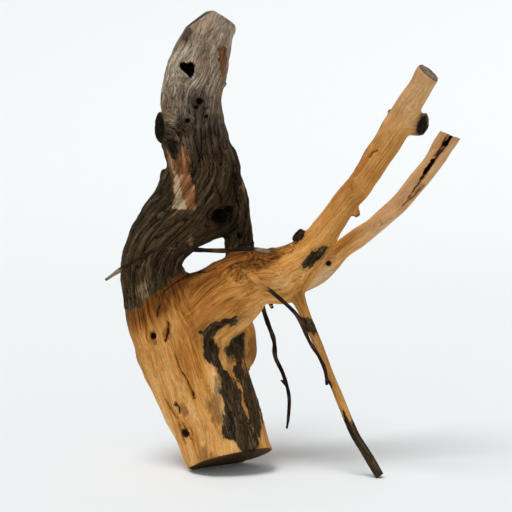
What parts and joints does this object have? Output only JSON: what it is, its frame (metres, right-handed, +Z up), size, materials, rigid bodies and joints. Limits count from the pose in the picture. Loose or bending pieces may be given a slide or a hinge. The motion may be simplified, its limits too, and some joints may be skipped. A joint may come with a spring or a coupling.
{
  "type": "piece of driftwood",
  "caption": "Forked, weathered piece of driftwood with a sawn stump, a natural window through the trunk, sawn branches and slender twigs, standing upright.",
  "frame": {"origin": "on the floor, under the middle of the bounding box", "axes": "+Z up along the trunk, +X towards the branches, -Y towards the side with the bare, honey-coloured wood"},
  "size_m": [0.3191, 0.1088, 0.4146],
  "materials": {
    "driftwood": "matte"
  },
  "bodies": {
    "root": {"driftwood": "driftwood"}
  },
  "joints": []
}
